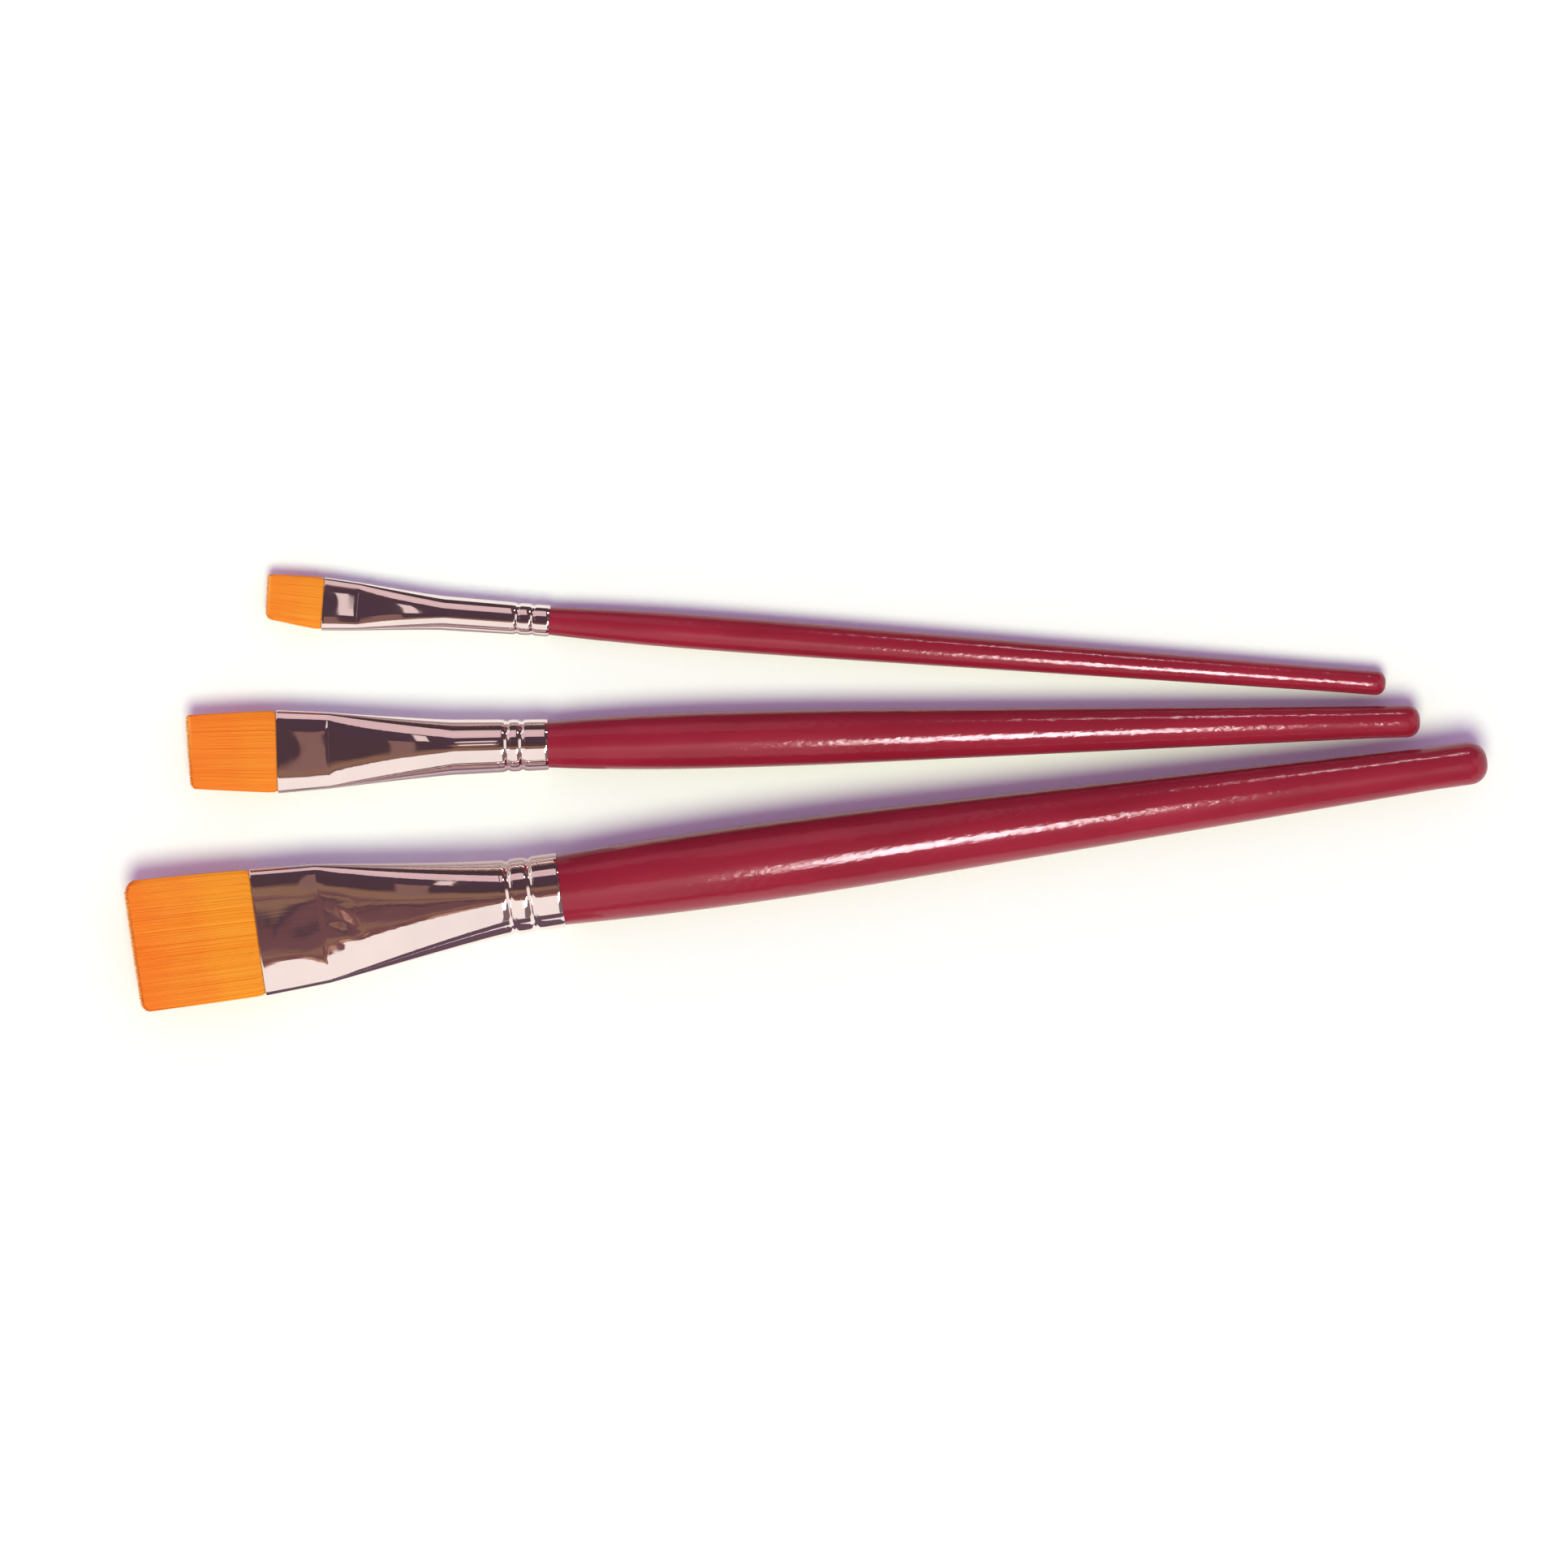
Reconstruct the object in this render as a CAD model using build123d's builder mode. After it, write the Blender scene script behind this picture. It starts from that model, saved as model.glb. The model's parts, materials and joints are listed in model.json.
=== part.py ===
from build123d import *
from math import asin, cos, degrees, radians, sin, sqrt, tan
from types import SimpleNamespace
import os

# A set of three flat brushes lying in a fan on a table: tufts towards -X, tails together
# towards +X. Millimetres and degrees, +Z up, the table at Z = 0, the origin at the middle
# of the set. "Behind" means towards the tail, and every station is measured behind the
# brush's mouth, which is the open front edge of its ferrule. A crimp's inset is how far in
# front of the ferrule's rear edge it lies, the belly's setback is how far behind that edge
# the handle is thickest, and the barrel's lead is its round stretch in front of the crimps.

# Large brush
large_mouth_width = 19.1
large_mouth_thickness = 4.2
large_crease_station = 9.8
large_crease_width = 18.0
large_barrel_lead = 0.4
large_barrel_diameter = 11.6
large_ferrule_length = 45.9
large_rear_diameter = 11.3
large_ferrule_wall = 0.35
large_front_crimp_inset = 7.6
large_rear_crimp_inset = 4.4
large_crimp_width = 1.5
large_crimp_depth = 0.4
large_tenon_reach = 7.0
large_belly_setback = 27.0
large_belly_diameter = 11.7
large_belly_blend = 26.0
large_handle_length = 140.3
large_tail_land = 5.5
large_tail_diameter = 6.45
large_tail_rounding = 2.8
large_hair_depth = 9.0
large_plug_length = 6.0
large_tuft_length = 19.1
large_tip_width = 20.1
large_tip_thickness = 1.9
large_tip_corner = 2.6
large_tip_lean = 0.3
large_tip_slant = 0.5
large_strand_columns = 34
large_strand_rows = 6
large_fan_angle = 6.4

# Medium brush
medium_mouth_width = 12.5
medium_mouth_thickness = 3.4
medium_crease_station = 7.8
medium_crease_width = 11.45
medium_barrel_lead = 7.4
medium_barrel_diameter = 8.35
medium_ferrule_length = 40.7
medium_rear_diameter = 7.65
medium_ferrule_wall = 0.3
medium_front_crimp_inset = 6.1
medium_rear_crimp_inset = 3.9
medium_crimp_width = 1.3
medium_crimp_depth = 0.32
medium_tenon_reach = 4.0
medium_belly_setback = 24.9
medium_belly_diameter = 8.55
medium_belly_blend = 24.0
medium_handle_length = 131.0
medium_tail_land = 5.5
medium_tail_diameter = 4.9
medium_tail_rounding = 2.0
medium_hair_depth = 7.2
medium_plug_length = 5.0
medium_tuft_length = 13.5
medium_tip_width = 11.6
medium_tip_thickness = 1.6
medium_tip_corner = 2.2
medium_tip_lean = 0.5
medium_tip_slant = 2.6
medium_strand_columns = 22
medium_strand_rows = 5
medium_fan_angle = 0.0

# Small brush
small_mouth_width = 8.0
small_mouth_thickness = 2.9
small_crease_station = 5.2
small_crease_width = 7.25
small_barrel_lead = 10.7
small_barrel_diameter = 5.15
small_ferrule_length = 34.1
small_rear_diameter = 4.7
small_ferrule_wall = 0.22
small_front_crimp_inset = 4.8
small_rear_crimp_inset = 2.5
small_crimp_width = 1.1
small_crimp_depth = 0.22
small_tenon_reach = 2.5
small_belly_setback = 22.7
small_belly_diameter = 5.25
small_belly_blend = 22.0
small_handle_length = 126.1
small_tail_land = 8.0
small_tail_diameter = 3.65
small_tail_rounding = 1.5
small_hair_depth = 4.8
small_plug_length = 4.0
small_tuft_length = 8.7
small_tip_width = 7.1
small_tip_thickness = 1.2
small_tip_corner = 0.9
small_tip_lean = 0.4
small_tip_slant = 1.3
small_strand_columns = 14
small_strand_rows = 5
small_fan_angle = -5.85

# How the set lies: where the medium brush's tail ends, how far the other two tails end
# ahead of it or short of it, and the clear space between neighbouring tails.
medium_tail_x = 92.65
medium_axis_y = 5.9
large_tail_lead = 9.8
small_tail_lag = 4.9
large_tail_gap = 1.9
small_tail_gap = 1.6

# Fits and forms that the three brushes share
seat_gap = 0.05  # glue line between a ferrule and what it holds
hair_recess = 0.6  # how far inside the mouth the packed hair begins to spread
strand_bite = 0.4  # how far each strand runs into the packed hair
strand_fill = 0.72  # share of its pitch that a strand takes up at its root
tip_fill = 0.6  # the same at its tip
strand_ragged = 0.3  # how much the strands' lengths differ
neck_sections = 5
neck_width_power = 1.15  # how fast the neck narrows from the crease to the barrel
neck_rise_power = 1.35  # how fast it grows round
neck_crown = 0.3  # width of the flat's last trace on top of the barrel


def brush_sizes(brush_name):
    """The sizes above that start with this brush's name, under the rest of their names."""
    prefix = brush_name + "_"
    sizes = {n[len(prefix) :]: v for n, v in globals().items() if n.startswith(prefix)}
    b = SimpleNamespace(name=brush_name, **sizes)
    first_crimp = b.ferrule_length - b.front_crimp_inset - b.crimp_width / 2
    b.barrel_station = first_crimp - b.barrel_lead
    return b


def overall_length(b):
    """From the mouth to the end of the tail."""
    return b.ferrule_length + b.handle_length


def lay_down(b, tail_x, tail_y):
    """Place the brush with its tail's end at this point and its belly on the table."""
    angle = radians(b.fan_angle)
    along = Vector(cos(angle), sin(angle), 0)
    tail_end = Vector(tail_x, tail_y, b.belly_diameter / 2)
    mouth = tail_end - along * overall_length(b)
    b.plane = Plane(origin=mouth, x_dir=along, z_dir=(0, 0, 1))
    b.axis = Axis(mouth, along)


def neighbour_tail_y(b, middle, tail_x, gap):
    """How far to the side the tail ends, for its edge to clear the medium brush's tail."""
    angle = radians(abs(b.fan_angle))
    nearest_x = min(tail_x - b.tail_rounding, medium_tail_x - middle.tail_rounding)
    edge = b.tail_diameter / 2 / cos(angle)
    return middle.tail_diameter / 2 + gap + edge - (tail_x - nearest_x) * tan(angle)


def station(b, distance):
    """Section plane at a distance behind the mouth: x across the brush, y up."""
    origin = b.plane.from_local_coords((distance, 0, 0))
    return Plane(origin=origin, x_dir=b.plane.y_dir, z_dir=b.plane.x_dir)


def pressed_section(b, distance, width, thickness):
    """A pressed tube's section: two flats joined by quarter arcs at each side."""
    flat = (width - thickness) / 2
    side = thickness / 2
    with BuildSketch(station(b, distance)) as section:
        with BuildLine():
            Line((-flat, side), (flat, side))
            CenterArc((flat, 0), side, 90, -90)
            CenterArc((flat, 0), side, 0, -90)
            Line((flat, -side), (-flat, -side))
            CenterArc((-flat, 0), side, 270, -90)
            CenterArc((-flat, 0), side, 180, -90)
        make_face()
    return section.sketch


def round_section(b, distance, diameter):
    """A circle in six arcs, so that each meets one edge of a pressed section."""
    radius = diameter / 2
    crown = degrees(asin(neck_crown / diameter))
    with BuildSketch(station(b, distance)) as section:
        with BuildLine():
            CenterArc((0, 0), radius, 90 + crown, -2 * crown)
            CenterArc((0, 0), radius, 90 - crown, crown - 90)
            CenterArc((0, 0), radius, 0, crown - 90)
            CenterArc((0, 0), radius, 270 + crown, -2 * crown)
            CenterArc((0, 0), radius, 270 - crown, crown - 90)
            CenterArc((0, 0), radius, 180, crown - 90)
        make_face()
    return section.sketch


def neck_size(b, share):
    """Width and thickness of the neck at this share of its length behind the crease."""
    width_left = (b.crease_width - b.barrel_diameter) * (1 - share) ** neck_width_power
    rise_left = (b.barrel_diameter - b.mouth_thickness) * (1 - share) ** neck_rise_power
    return b.barrel_diameter + width_left, b.barrel_diameter - rise_left


def barrel_radius(b, distance):
    """Outside radius of the slightly tapered barrel, between its crimps."""
    share = (distance - b.barrel_station) / (b.ferrule_length - b.barrel_station)
    return (b.barrel_diameter + (b.rear_diameter - b.barrel_diameter) * share) / 2


def barrel_line(b, inset):
    """Draw the barrel's edge with its two crimps, moved in by inset, from front to rear."""
    half = b.crimp_width / 2
    previous = (b.barrel_station, barrel_radius(b, b.barrel_station) - inset)
    for crimp_inset in (b.front_crimp_inset, b.rear_crimp_inset):
        middle = b.ferrule_length - crimp_inset
        front = (middle - half, barrel_radius(b, middle - half) - inset)
        bottom = (middle, barrel_radius(b, middle) - b.crimp_depth - inset)
        rear = (middle + half, barrel_radius(b, middle + half) - inset)
        Line(previous, front)
        ThreePointArc(front, bottom, rear)
        previous = rear
    rear_edge = (b.ferrule_length, b.rear_diameter / 2 - inset)
    Line(previous, rear_edge)


def panel_form(b, inset):
    """The pressed panel: flat faces over a slab, and a half-round roll along each side."""
    side = b.mouth_thickness / 2 - inset
    mouth_flat = (b.mouth_width - b.mouth_thickness) / 2
    crease_flat = (b.crease_width - b.mouth_thickness) / 2
    corners = [
        (0, mouth_flat),
        (b.crease_station, crease_flat),
        (b.crease_station, -crease_flat),
        (0, -mouth_flat),
    ]
    with BuildPart() as panel:
        with BuildSketch(b.plane):
            with BuildLine():
                Polyline(corners, close=True)
            make_face()
        extrude(amount=side, both=True)
        for way in (1, -1):
            with BuildSketch(station(b, 0)):
                with BuildLine():
                    CenterArc((way * mouth_flat, 0), side, 90, -180 * way)
                    Line((way * mouth_flat, -side), (way * mouth_flat, side))
                make_face()
            narrowing = b.plane.y_dir * way * (crease_flat - mouth_flat)
            run = b.plane.x_dir * b.crease_station + narrowing
            extrude(amount=run.length, dir=run.normalized())
    return panel.part


def ferrule_form(b, inset):
    """The ferrule as a filled form, moved in by inset: panel, neck and crimped barrel."""
    panel = panel_form(b, inset)
    neck_length = b.barrel_station - b.crease_station
    neck = []
    for i in range(neck_sections - 1):
        share = i / (neck_sections - 1)
        wide, thick = neck_size(b, share)
        distance = b.crease_station + share * neck_length
        neck.append(pressed_section(b, distance, wide - 2 * inset, thick - 2 * inset))
    neck.append(round_section(b, b.barrel_station, b.barrel_diameter - 2 * inset))

    with BuildPart() as form:
        add(panel)
        loft(neck)
        with BuildSketch(b.plane):
            with BuildLine():
                barrel_line(b, inset)
                Line((b.ferrule_length, b.rear_diameter / 2 - inset), (b.ferrule_length, 0))
                Line((b.ferrule_length, 0), (b.barrel_station, 0))
                Line((b.barrel_station, 0), (b.barrel_station, b.barrel_diameter / 2 - inset))
            make_face()
        revolve(axis=b.axis)
    return form.part


def make_ferrule(b):
    """A seamless metal tube, pressed flat at the mouth and crimped twice on the handle."""
    outside = ferrule_form(b, 0)
    inside = ferrule_form(b, b.ferrule_wall)
    with BuildPart() as ferrule:
        add(outside)
        add(inside, mode=Mode.SUBTRACT)
    return ferrule.part


def make_handle(b):
    """A turned wooden handle: crimped tenon, belly, long taper and rounded tail."""
    inset = b.ferrule_wall + seat_gap
    tenon_station = b.barrel_station - b.tenon_reach
    share = (tenon_station - b.crease_station) / (b.barrel_station - b.crease_station)
    tenon_radius = neck_size(b, share)[1] / 2 - inset
    tenon_start = (tenon_station, tenon_radius)
    barrel_start = (b.barrel_station, b.barrel_diameter / 2 - inset)
    shoulder = (b.ferrule_length, b.rear_diameter / 2 - inset)

    length = overall_length(b)
    belly_radius = b.belly_diameter / 2
    tail_radius = b.tail_diameter / 2
    belly = (b.ferrule_length + b.belly_setback, belly_radius)
    land_start = (length - b.tail_rounding - b.tail_land, tail_radius)
    slope = (belly_radius - tail_radius) / (land_start[0] - belly[0] - b.belly_blend / 2)
    taper_start = (belly[0] + b.belly_blend, belly_radius - slope * b.belly_blend / 2)
    land_end = (length - b.tail_rounding, tail_radius)
    tail_end = (length, tail_radius - b.tail_rounding)

    with BuildPart() as handle:
        with BuildSketch(b.plane):
            with BuildLine():
                Line((tenon_station, 0), tenon_start)
                Line(tenon_start, barrel_start)
                barrel_line(b, inset)
                TangentArc(belly, shoulder, tangent=(-1, 0))
                TangentArc(belly, taper_start, tangent=(1, 0))
                Line(taper_start, land_start)
                Line(land_start, land_end)
                TangentArc(land_end, tail_end, tangent=(1, 0))
                Line(tail_end, (length, 0))
                Line((length, 0), (tenon_station, 0))
            make_face()
        revolve(axis=b.axis)
    return handle.part


def slice_of_filling(b, front, depth):
    """What fills the ferrule from one station on: packed hair or set resin."""
    filling = ferrule_form(b, b.ferrule_wall + seat_gap)
    with BuildPart() as piece:
        add(filling)
        with BuildSketch(station(b, front)):
            Rectangle(2 * b.mouth_width, 2 * b.mouth_width)
        extrude(amount=depth, mode=Mode.INTERSECT)
    return piece.part


def make_resin_plug(b):
    """The resin that was poured in behind the hair and set there."""
    return slice_of_filling(b, b.hair_depth + seat_gap, b.plug_length)


def strand_length(b, across, row_share, ragged):
    """How far a strand stands out of the mouth: round corners, thinned edge, uneven cut."""
    half = b.tip_width / 2
    beyond = max(0, abs(across) - (half - b.tip_corner)) / b.tip_corner
    corner_drop = b.tip_corner * (1 - sqrt(1 - min(1, beyond) ** 2))
    edge_drop = b.tip_thickness / 4 * row_share**2
    slant = across * tan(radians(b.tip_slant))
    return b.tuft_length - corner_drop - edge_drop + slant - ragged


def make_strands(b):
    """Four-sided strands that spread from the packed hair in rows, none crossing."""
    inset = b.ferrule_wall + seat_gap
    root_thickness = b.mouth_thickness - 2 * inset
    side = root_thickness / 2
    flat = (b.mouth_width - b.mouth_thickness) / 2
    root_station = hair_recess + strand_bite
    row_pitch = root_thickness / b.strand_rows
    tip_row_pitch = b.tip_thickness / b.strand_rows
    tip_pitch = b.tip_width / b.strand_columns
    strands = []
    for row in range(b.strand_rows):
        row_share = (2 * row + 1) / b.strand_rows - 1
        up = row_share * side
        half_row = flat + sqrt(side**2 - up**2) - row_pitch / 4
        pitch = 2 * half_row / b.strand_columns
        for column in range(b.strand_columns):
            column_share = (2 * column + 1) / b.strand_columns - 1
            ragged = strand_ragged * (0.5 + 0.5 * sin(7.3 * column + 3.1 * row * row + 1))
            tip_across = column_share * b.tip_width / 2
            length = strand_length(b, tip_across, row_share, ragged)
            tip_up = row_share * b.tip_thickness / 2
            root = station(b, root_station) * Pos(column_share * half_row, up)
            tip = station(b, -length) * Pos(tip_across + b.tip_lean, tip_up)
            thick_end = root * Rectangle(strand_fill * pitch, strand_fill * row_pitch)
            thin_end = tip * Rectangle(tip_fill * tip_pitch, tip_fill * tip_row_pitch)
            strands.append(loft([thick_end, thin_end], ruled=True))
    return strands


def make_bristles(b):
    """The hair: packed solid inside the mouth, with its strands fused to the pack."""
    packed = slice_of_filling(b, hair_recess, b.hair_depth - hair_recess)
    strands = make_strands(b)
    with BuildPart() as bristles:
        add(packed)
        add(strands)
    return bristles.part


large = brush_sizes("large")
medium = brush_sizes("medium")
small = brush_sizes("small")

large_tail_x = medium_tail_x + large_tail_lead
small_tail_x = medium_tail_x - small_tail_lag
large_side = neighbour_tail_y(large, medium, large_tail_x, large_tail_gap)
small_side = neighbour_tail_y(small, medium, small_tail_x, small_tail_gap)
lay_down(medium, medium_tail_x, medium_axis_y)
lay_down(large, large_tail_x, medium_axis_y - large_side)
lay_down(small, small_tail_x, medium_axis_y + small_side)

makers = {
    "handle": make_handle,
    "ferrule": make_ferrule,
    "resin_plug": make_resin_plug,
    "bristles": make_bristles,
}

os.makedirs("parts", exist_ok=True)
for brush in (large, medium, small):
    for piece_name, make in makers.items():
        piece = make(brush)
        piece.label = f"{brush.name}_{piece_name}"
        export_step(piece, f"parts/{piece.label}.step")
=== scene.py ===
import json
import math
import random
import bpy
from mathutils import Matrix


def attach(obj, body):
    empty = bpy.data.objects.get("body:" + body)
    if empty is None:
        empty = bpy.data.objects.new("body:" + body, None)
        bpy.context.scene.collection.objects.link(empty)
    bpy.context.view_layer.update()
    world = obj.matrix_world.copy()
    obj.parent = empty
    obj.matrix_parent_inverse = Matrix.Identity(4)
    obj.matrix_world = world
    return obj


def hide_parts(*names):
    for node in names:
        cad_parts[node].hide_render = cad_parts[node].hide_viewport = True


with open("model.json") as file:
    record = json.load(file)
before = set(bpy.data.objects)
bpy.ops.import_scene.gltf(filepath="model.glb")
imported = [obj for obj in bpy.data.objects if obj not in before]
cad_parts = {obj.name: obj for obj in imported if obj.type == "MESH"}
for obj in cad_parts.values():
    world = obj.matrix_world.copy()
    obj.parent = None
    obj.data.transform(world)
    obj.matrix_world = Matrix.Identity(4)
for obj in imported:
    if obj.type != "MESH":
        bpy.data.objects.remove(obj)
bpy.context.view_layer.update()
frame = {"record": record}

from types import SimpleNamespace

import bmesh
import bpy
from mathutils import Matrix, Vector, noise

# A set of three flat brushes seen from straight above, on a white table. Each brush is
# built in a frame of its own: x behind its mouth towards the tail, y across, z up from its
# axis. Sizes are in millimetres there, and metres in Blender. A function's b is a brush.

MM = 0.001
mounts = {mount["name"]: mount for mount in frame["record"]["mounts"]}


# ---------------------------------------------------------------- camera

PHOTO_SPAN = 235.6 * MM  # what a side of the photograph covers on the table
PHOTO_CENTRE = Vector((-3.1, -1.0, 4.0)) * MM
PHOTO_TURN = math.radians(1.55)  # how steeply the medium brush climbs to the right
CAMERA_HEIGHT = 1.3
SENSOR = 36.0


def make_camera():
    """Straight above the set, with a long lens."""
    data = bpy.data.cameras.new("camera")
    data.sensor_width = SENSOR
    data.lens = SENSOR * CAMERA_HEIGHT / PHOTO_SPAN
    camera = bpy.data.objects.new("camera", data)
    bpy.context.scene.collection.objects.link(camera)
    place = PHOTO_CENTRE + Vector((0, 0, CAMERA_HEIGHT))
    camera.matrix_world = Matrix.Translation(place) @ Matrix.Rotation(-PHOTO_TURN, 4, "Z")
    bpy.context.scene.camera = camera


# ---------------------------------------------------------------- shader helpers

class Shader:
    """A node tree with short ways to add nodes and join them."""

    def __init__(self, tree):
        self.tree = tree
        tree.nodes.clear()

    def add(self, kind, **settings):
        node = self.tree.nodes.new(kind)
        for name, value in settings.items():
            setattr(node, name, value)
        return node

    def link(self, source, target):
        self.tree.links.new(source, target)

    def set(self, node, **values):
        """Set constant inputs, named with underscores for spaces."""
        for name, value in values.items():
            node.inputs[name.replace("_", " ")].default_value = value

    def noise(self, vector, scale, detail=2.0, roughness=0.5, distortion=0.0):
        node = self.add("ShaderNodeTexNoise")
        self.set(node, Scale=scale, Detail=detail, Roughness=roughness, Distortion=distortion)
        self.link(vector, node.inputs["Vector"])
        return node.outputs["Fac"]

    def stretch(self, vector, scale):
        node = self.add("ShaderNodeMapping")
        self.set(node, Scale=scale)
        self.link(vector, node.inputs["Vector"])
        return node.outputs["Vector"]

    def axis(self, vector, letter):
        node = self.add("ShaderNodeSeparateXYZ")
        self.link(vector, node.inputs[0])
        return node.outputs[letter]

    def math(self, operation, first, second=0.0, clamp=False):
        node = self.add("ShaderNodeMath", operation=operation, use_clamp=clamp)
        for socket, value in zip(node.inputs, (first, second)):
            if isinstance(value, (int, float)):
                socket.default_value = value
            else:
                self.link(value, socket)
        return node.outputs[0]

    def share(self, value, low, high):
        """How far the value has come from low to high."""
        return self.math("DIVIDE", self.math("SUBTRACT", value, low), high - low)

    def spread(self, value, low, high, to_low=0.0, to_high=1.0):
        """The value's place between low and high, smoothly, from to_low to to_high."""
        node = self.add("ShaderNodeMapRange", interpolation_type="SMOOTHSTEP")
        self.set(node, From_Min=low, From_Max=high, To_Min=to_low, To_Max=to_high)
        self.link(value, node.inputs["Value"])
        return node.outputs["Result"]

    def ramp(self, factor, stops):
        node = self.add("ShaderNodeValToRGB")
        elements = node.color_ramp.elements
        while len(elements) < len(stops):
            elements.new(0.5)
        for element, (position, colour) in zip(elements, stops):
            element.position = position
            element.color = (*colour, 1.0)
        self.link(factor, node.inputs["Fac"])
        return node.outputs["Color"]

    def blend(self, factor, first, second, mode="MIX"):
        """Mix two colours, each a socket or three numbers."""
        node = self.add("ShaderNodeMix", data_type="RGBA", blend_type=mode)
        factor_socket, first_socket, second_socket = (node.inputs[i] for i in (0, 6, 7))
        for socket, value in ((first_socket, first), (second_socket, second)):
            if isinstance(value, tuple):
                socket.default_value = (*value, 1.0)
            else:
                self.link(value, socket)
        if isinstance(factor, float):
            factor_socket.default_value = factor
        else:
            self.link(factor, factor_socket)
        return node.outputs[2]

    def bump(self, height, strength, distance, normal=None):
        node = self.add("ShaderNodeBump")
        self.set(node, Strength=strength, Distance=distance)
        self.link(height, node.inputs["Height"])
        if normal is not None:
            self.link(normal, node.inputs["Normal"])
        return node.outputs["Normal"]


def new_material(name):
    """A material with its tree, its principled shader and its object coordinates."""
    material = bpy.data.materials.new(name)
    material.use_nodes = True
    shader = Shader(material.node_tree)
    principled = shader.add("ShaderNodeBsdfPrincipled")
    output = shader.add("ShaderNodeOutputMaterial")
    shader.link(principled.outputs["BSDF"], output.inputs["Surface"])
    place = shader.add("ShaderNodeTexCoord").outputs["Object"]
    return material, shader, principled, place


# ---------------------------------------------------------------- light and table

TABLE_LIGHT = 1.05  # what the open table gets, so that its white just fills the scale
AMBIENT_COLOUR = (0.42, 0.31, 0.545)
KEY_ELEVATION = 66.0  # degrees above the table, on the near side
KEY_SOFTNESS = 28.0
SURROUNDINGS = (1.0, 0.96, 0.94)


def make_key():
    """A wide, soft lamp on the near side of the set."""
    data = bpy.data.lights.new("key", "SUN")
    data.angle = math.radians(KEY_SOFTNESS)
    data.color = [TABLE_LIGHT - ambient for ambient in AMBIENT_COLOUR]
    data.energy = math.pi / math.sin(math.radians(KEY_ELEVATION))
    key = bpy.data.objects.new("key", data)
    bpy.context.scene.collection.objects.link(key)
    key.rotation_euler = (math.radians(90 - KEY_ELEVATION), 0, 0)
    key.visible_glossy = False


def make_world():
    """White surroundings to look at and to mirror, and a plain level of ambient light."""
    world = bpy.data.worlds.new("studio")
    bpy.context.scene.world = world
    world.use_nodes = True
    shader = Shader(world.node_tree)
    white = shader.add("ShaderNodeBackground")
    shader.set(white, Color=(*SURROUNDINGS, 1))
    ambient = shader.add("ShaderNodeBackground")
    shader.set(ambient, Color=(*AMBIENT_COLOUR, 1))
    path = shader.add("ShaderNodeLightPath")
    seen = shader.math("ADD", path.outputs["Is Camera Ray"], path.outputs["Is Glossy Ray"])
    seen = shader.math("ADD", seen, path.outputs["Is Transmission Ray"], clamp=True)
    mix = shader.add("ShaderNodeMixShader")
    shader.link(seen, mix.inputs[0])
    shader.link(ambient.outputs[0], mix.inputs[1])
    shader.link(white.outputs[0], mix.inputs[2])
    output = shader.add("ShaderNodeOutputWorld")
    shader.link(mix.outputs[0], output.inputs["Surface"])


TABLE_REACH = 3.0  # from its middle to its edges


def make_table():
    """A plain white table top."""
    mesh = bpy.data.meshes.new("table")
    form = bmesh.new()
    bmesh.ops.create_grid(form, x_segments=1, y_segments=1, size=TABLE_REACH)
    form.to_mesh(mesh)
    form.free()
    table = bpy.data.objects.new("table", mesh)
    bpy.context.scene.collection.objects.link(table)
    material, shader, principled, place = new_material("white_table")
    grain = shader.noise(place, 900.0, detail=3.0)
    colour = shader.blend(grain, (0.97, 0.97, 0.97), (1.0, 1.0, 1.0))
    shader.link(colour, principled.inputs["Base Color"])
    shader.set(principled, Roughness=0.9, Specular_IOR_Level=0.0)
    mesh.materials.append(material)


def make_screen(name, vertices, faces, paint, strength=1.0):
    """A card or lamp that only glossy surfaces show. Paint gives its colour."""
    mesh = bpy.data.meshes.new(name)
    mesh.from_pydata(vertices, [], faces)
    screen = bpy.data.objects.new(name, mesh)
    bpy.context.scene.collection.objects.link(screen)
    material = bpy.data.materials.new(name)
    material.use_nodes = True
    shader = Shader(material.node_tree)
    place = shader.add("ShaderNodeTexCoord").outputs["Object"]
    glow = shader.add("ShaderNodeEmission")
    shader.set(glow, Strength=strength)
    shader.link(paint(shader, place), glow.inputs["Color"])
    output = shader.add("ShaderNodeOutputMaterial")
    shader.link(glow.outputs[0], output.inputs["Surface"])
    mesh.materials.append(material)
    screen.visible_camera = False
    screen.visible_diffuse = False
    screen.visible_shadow = False


PANE_END = 0.5 * MM  # how soft a painted pane's ends are, and its sides
PANE_SIDE = 1.5 * MM


def plain(colour):
    """Paint of nearly one colour."""
    def paint(shader, place):
        pattern = shader.noise(place, 9.0)
        darker = tuple(0.92 * value for value in colour)
        return shader.ramp(pattern, [(0.4, darker), (0.6, colour)])
    return paint


def bands(low, high, colours, scale, wander, curved=True):
    """Paint in bands that wander. A curved card is measured in degrees round the X axis
    and a level one in metres along Y, from low to high."""
    def paint(shader, place):
        across = shader.axis(place, "Y")
        if curved:
            across = shader.math("ARCTAN2", across, shader.axis(place, "Z"))
            across = shader.math("DEGREES", across)
        share = shader.share(across, low, high)
        drift = shader.math("SUBTRACT", shader.noise(place, scale, detail=2.5), 0.5)
        mixed = shader.math("ADD", share, shader.math("MULTIPLY", drift, wander))
        return shader.ramp(mixed, colours)
    return paint


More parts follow.
